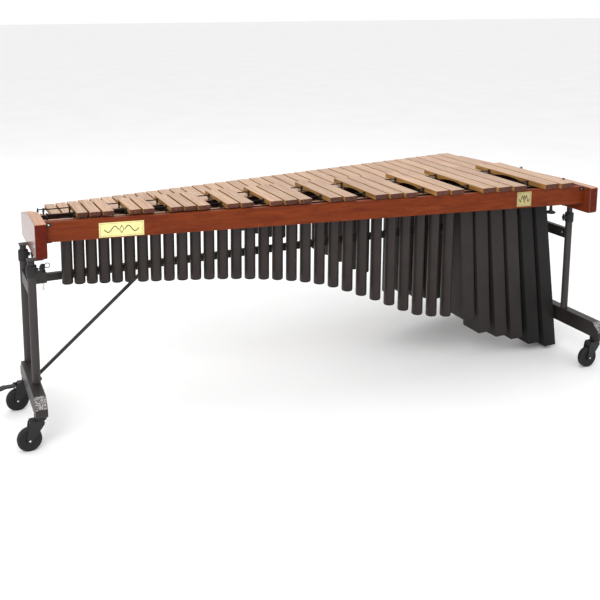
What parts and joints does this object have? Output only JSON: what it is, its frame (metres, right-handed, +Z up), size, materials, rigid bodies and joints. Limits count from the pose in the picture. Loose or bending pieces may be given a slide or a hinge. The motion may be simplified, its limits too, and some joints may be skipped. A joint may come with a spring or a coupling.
{
  "type": "marimba",
  "caption": "Concert marimba: two rows of tapered wooden bars on cords over tube and box resonators, in a wooden frame on a height-adjustable wheeled steel stand.",
  "frame": {"origin": "on the floor, under the middle of the object's bounding box", "axes": "+X along the keyboard from the highest note to the lowest, +Y from the accidental bars' side to the player's side, +Z up"},
  "size_m": [2.8294, 1.1878, 0.941],
  "materials": {
    "bars": "satin rosewood-like, golden brown",
    "frame_wood": "semi-gloss reddish brown lacquer",
    "resonator": "satin dark charcoal brown coating",
    "powder_coat": "fine textured black powder coat",
    "black_plastic": "matt black",
    "tyre": "matt dark rubber",
    "steel": "bright plated",
    "plate": "satin pale gold, blank"
  },
  "bodies": {
    "lower_frame": {"foot_beam_high": "powder_coat", "cross_board_high": "powder_coat", "brace_high": "powder_coat", "brace_knob_high": "black_plastic", "leg_tube_high_front": "powder_coat", "leg_tube_high_back": "powder_coat", "foot_beam_low": "powder_coat", "cross_board_low": "powder_coat", "brace_low": "powder_coat", "brace_knob_low": "black_plastic", "leg_tube_low_front": "powder_coat", "leg_tube_low_back": "powder_coat", "stretcher": "powder_coat"},
    "upper_frame": {"natural_bars_octave_6": "bars", "accidental_bars_octave_6": "bars", "natural_bars_octave_5": "bars", "accidental_bars_octave_5": "bars", "natural_bars_octave_4": "bars", "accidental_bars_octave_4": "bars", "natural_bars_octave_3": "bars", "accidental_bars_octave_3": "bars", "natural_bars_octave_2": "bars", "accidental_bars_octave_2": "bars", "apron_rail": "frame_wood", "accidental_near_rail": "frame_wood", "accidental_far_rail": "frame_wood", "natural_near_rail": "frame_wood", "natural_far_rail": "frame_wood", "high_end_block": "frame_wood", "low_end_board": "frame_wood", "name_plate_large": "plate", "name_plate_small": "plate", "front_resonators_1": "resonator", "back_resonators_1": "resonator", "front_resonators_2": "resonator", "back_resonators_2": "resonator", "front_resonators_3": "resonator", "back_resonators_3": "resonator", "front_box_resonators": "resonator", "back_box_resonators": "resonator", "height_post_high_front": "powder_coat", "height_post_high_back": "powder_coat", "height_post_low_front": "powder_coat", "height_post_low_back": "powder_coat"},
    "swivel_high_front": {"caster_fork_high_front": "black_plastic"},
    "wheel_high_front": {"caster_wheel_high_front": "tyre"},
    "clamp_high_front": {"clamp_knob_high_front": "black_plastic"},
    "swivel_high_back": {"caster_fork_high_back": "black_plastic"},
    "wheel_high_back": {"caster_wheel_high_back": "tyre"},
    "brake_high_back": {"brake_pedal_high_back": "black_plastic"},
    "clamp_high_back": {"clamp_knob_high_back": "black_plastic"},
    "swivel_low_front": {"caster_fork_low_front": "black_plastic"},
    "wheel_low_front": {"caster_wheel_low_front": "tyre"},
    "clamp_low_front": {"clamp_knob_low_front": "black_plastic"},
    "swivel_low_back": {"caster_fork_low_back": "black_plastic"},
    "wheel_low_back": {"caster_wheel_low_back": "tyre"},
    "brake_low_back": {"brake_pedal_low_back": "black_plastic"},
    "clamp_low_back": {"clamp_knob_low_back": "black_plastic"},
    "release_pin": {"release_pin": "steel"},
    "apron_knob": {"apron_knob": "black_plastic"}
  },
  "joints": [
    {"name": "height_slide", "type": "slide", "parent": "lower_frame", "child": "upper_frame", "axis": [0, 0, 1], "range_m": [0, 0.15]},
    {"name": "swivel_high_front", "type": "hinge", "parent": "lower_frame", "child": "swivel_high_front", "pos_m": [-1.28974, -0.2629, 0.15], "axis": [0, 0, 1], "continuous": true},
    {"name": "wheel_high_front", "type": "hinge", "parent": "swivel_high_front", "child": "wheel_high_front", "pos_m": [-1.33774, -0.2629, 0.05], "axis": [0, 1, 0], "continuous": true},
    {"name": "clamp_high_front", "type": "hinge", "parent": "lower_frame", "child": "clamp_high_front", "pos_m": [-1.25274, -0.1309, 0.716], "axis": [1, 0, 0], "range_deg": [0, 540]},
    {"name": "swivel_high_back", "type": "hinge", "parent": "lower_frame", "child": "swivel_high_back", "pos_m": [-1.28974, 0.1151, 0.15], "axis": [0, 0, 1], "continuous": true},
    {"name": "wheel_high_back", "type": "hinge", "parent": "swivel_high_back", "child": "wheel_high_back", "pos_m": [-1.33774, 0.1151, 0.05], "axis": [0, 1, 0], "continuous": true},
    {"name": "brake_high_back", "type": "hinge", "parent": "swivel_high_back", "child": "brake_high_back", "pos_m": [-1.34674, 0.1151, 0.116], "axis": [0, -1, 0], "range_deg": [0, 12]},
    {"name": "clamp_high_back", "type": "hinge", "parent": "lower_frame", "child": "clamp_high_back", "pos_m": [-1.25274, 0.1131, 0.716], "axis": [1, 0, 0], "range_deg": [0, 540]},
    {"name": "swivel_low_front", "type": "hinge", "parent": "lower_frame", "child": "swivel_low_front", "pos_m": [1.38826, -0.5499, 0.15], "axis": [0, 0, 1], "continuous": true},
    {"name": "wheel_low_front", "type": "hinge", "parent": "swivel_low_front", "child": "wheel_low_front", "pos_m": [1.34026, -0.5499, 0.05], "axis": [0, 1, 0], "continuous": true},
    {"name": "clamp_low_front", "type": "hinge", "parent": "lower_frame", "child": "clamp_low_front", "pos_m": [1.35126, -0.3309, 0.716], "axis": [-1, 0, 0], "range_deg": [0, 540]},
    {"name": "swivel_low_back", "type": "hinge", "parent": "lower_frame", "child": "swivel_low_back", "pos_m": [1.38826, 0.4511, 0.15], "axis": [0, 0, 1], "continuous": true},
    {"name": "wheel_low_back", "type": "hinge", "parent": "swivel_low_back", "child": "wheel_low_back", "pos_m": [1.34026, 0.4511, 0.05], "axis": [0, 1, 0], "continuous": true},
    {"name": "brake_low_back", "type": "hinge", "parent": "swivel_low_back", "child": "brake_low_back", "pos_m": [1.33126, 0.4511, 0.116], "axis": [0, -1, 0], "range_deg": [0, 12]},
    {"name": "clamp_low_back", "type": "hinge", "parent": "lower_frame", "child": "clamp_low_back", "pos_m": [1.35126, 0.3471, 0.716], "axis": [-1, 0, 0], "range_deg": [0, 540]},
    {"name": "pin_pull", "type": "slide", "parent": "lower_frame", "child": "release_pin", "axis": [0, 0, 1], "range_m": [0, 0.06]},
    {"name": "apron_knob_turn", "type": "hinge", "parent": "upper_frame", "child": "apron_knob", "pos_m": [1.13926, -0.4603, 0.8], "axis": [0, 0, 1], "range_deg": [0, 720]}
  ]
}
